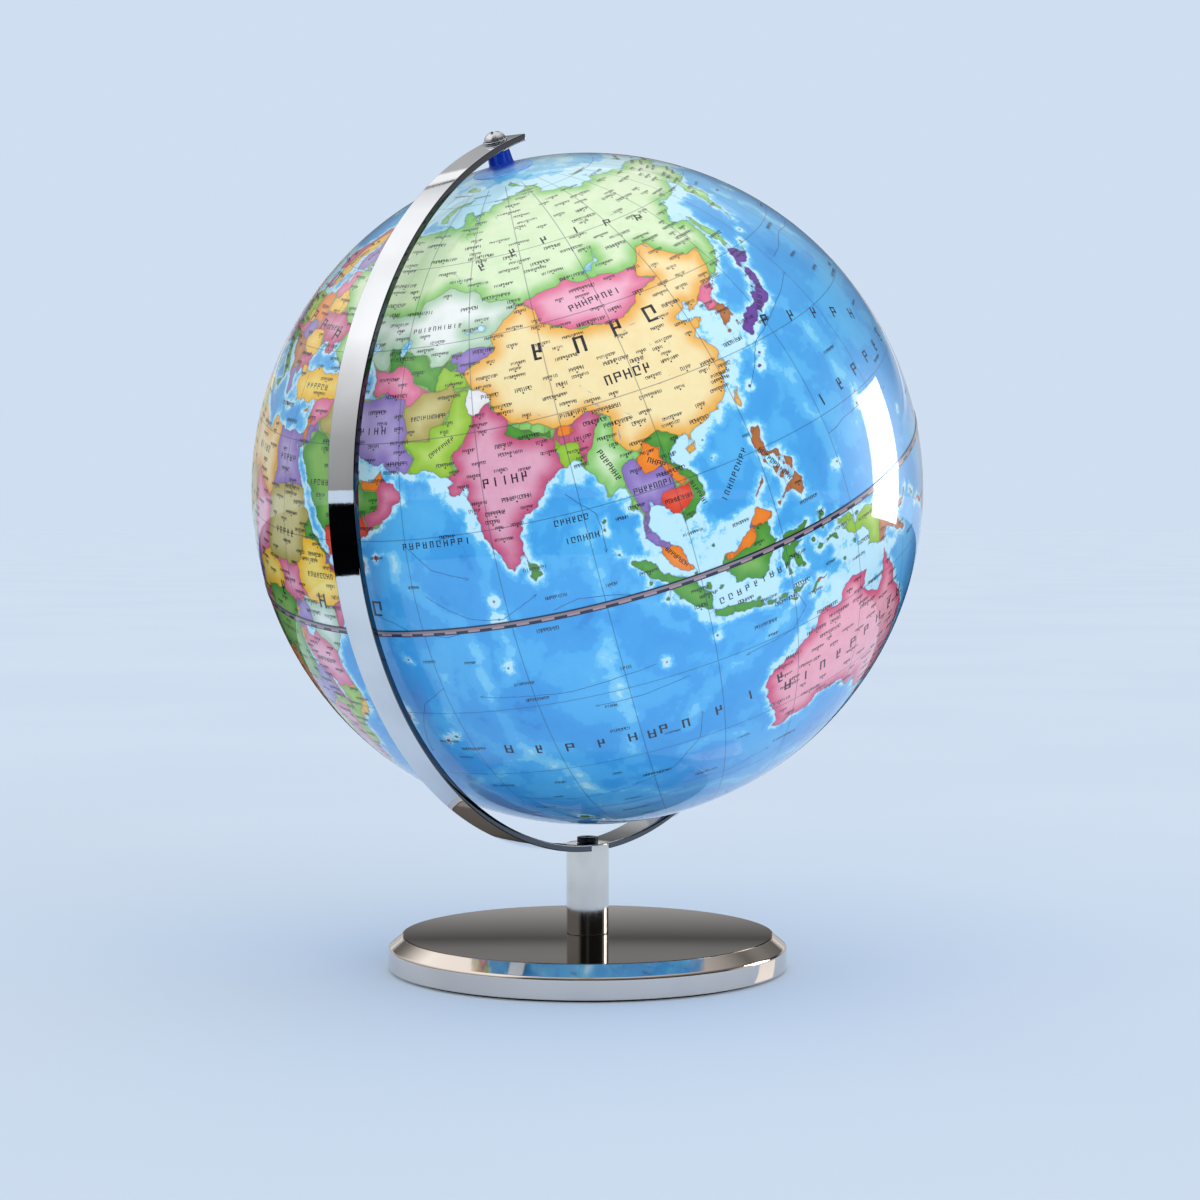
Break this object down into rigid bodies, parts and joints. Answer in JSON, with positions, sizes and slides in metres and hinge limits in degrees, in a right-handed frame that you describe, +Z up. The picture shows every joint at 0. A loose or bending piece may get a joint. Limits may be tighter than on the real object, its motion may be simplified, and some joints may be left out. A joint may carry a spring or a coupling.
{
  "type": "desktop globe on stand",
  "caption": "Political world globe that turns on a tilted axis, held by a chrome half-ring band on a short tube and a weighted round base.",
  "frame": {"origin": "centre of the base pad's underside, on the surface the globe stands on", "axes": "+Z up; -X towards the side the band bulges to, which is also the side the north pole leans to; the band lies in the XZ plane and +Y completes the right-handed frame"},
  "size_m": [0.26, 0.2504, 0.3072],
  "materials": {
    "map_print": "political map of the world printed in many inks under clear gloss varnish, blue sea",
    "tape_print": "printed paper tape under varnish, dark scale marks",
    "coupler_plastic": "moulded, natural white",
    "collar_plastic": "moulded clear blue plastic, slightly see-through",
    "clip_steel": "spring steel",
    "thrust_nylon": "natural nylon",
    "rod_steel": "ground bright steel",
    "screw_chrome": "nickel-chrome plated",
    "band_chrome": "polished chrome plate",
    "band_screw_steel": "black zinc plated",
    "pillar_chrome": "polished chrome plate",
    "plug_steel": "turned steel",
    "base_chrome": "satin chrome plate on pressed steel",
    "plate_mirror": "dark mirror-polished stainless steel",
    "weight_iron": "as cast, turned on top",
    "cover_steel": "zinc plated sheet",
    "pad_foam": "closed-cell foam, matt black",
    "fastener_steel": "zinc plated"
  },
  "bodies": {
    "stand": {"base_pad": "pad_foam", "base_cover": "cover_steel", "cover_screws": "fastener_steel", "base_weight": "weight_iron", "base_shell": "base_chrome", "base_plate": "plate_mirror", "base_bolt": "fastener_steel", "bolt_washer": "fastener_steel", "bolt_spring_washer": "fastener_steel", "pillar_tube": "pillar_chrome", "pillar_foot_plug": "plug_steel", "pillar_head_plug": "plug_steel", "band_screw": "band_screw_steel", "meridian_band": "band_chrome", "axle_rod": "rod_steel", "north_pole_screw": "screw_chrome", "south_pole_screw": "screw_chrome", "north_screw_washer": "screw_chrome", "south_screw_washer": "screw_chrome", "north_thrust_washer": "thrust_nylon", "south_thrust_washer": "thrust_nylon"},
    "globe": {"north_shell": "map_print", "south_shell": "map_print", "shell_coupler": "coupler_plastic", "equator_tape": "tape_print", "north_collar": "collar_plastic", "south_collar": "collar_plastic", "north_collar_clip": "clip_steel", "south_collar_clip": "clip_steel"}
  },
  "joints": [
    {"name": "globe_spin", "type": "hinge", "parent": "stand", "child": "globe", "pos_m": [0, 0, 0.1795], "axis": [-0.3987, 0, 0.9171], "continuous": true}
  ]
}
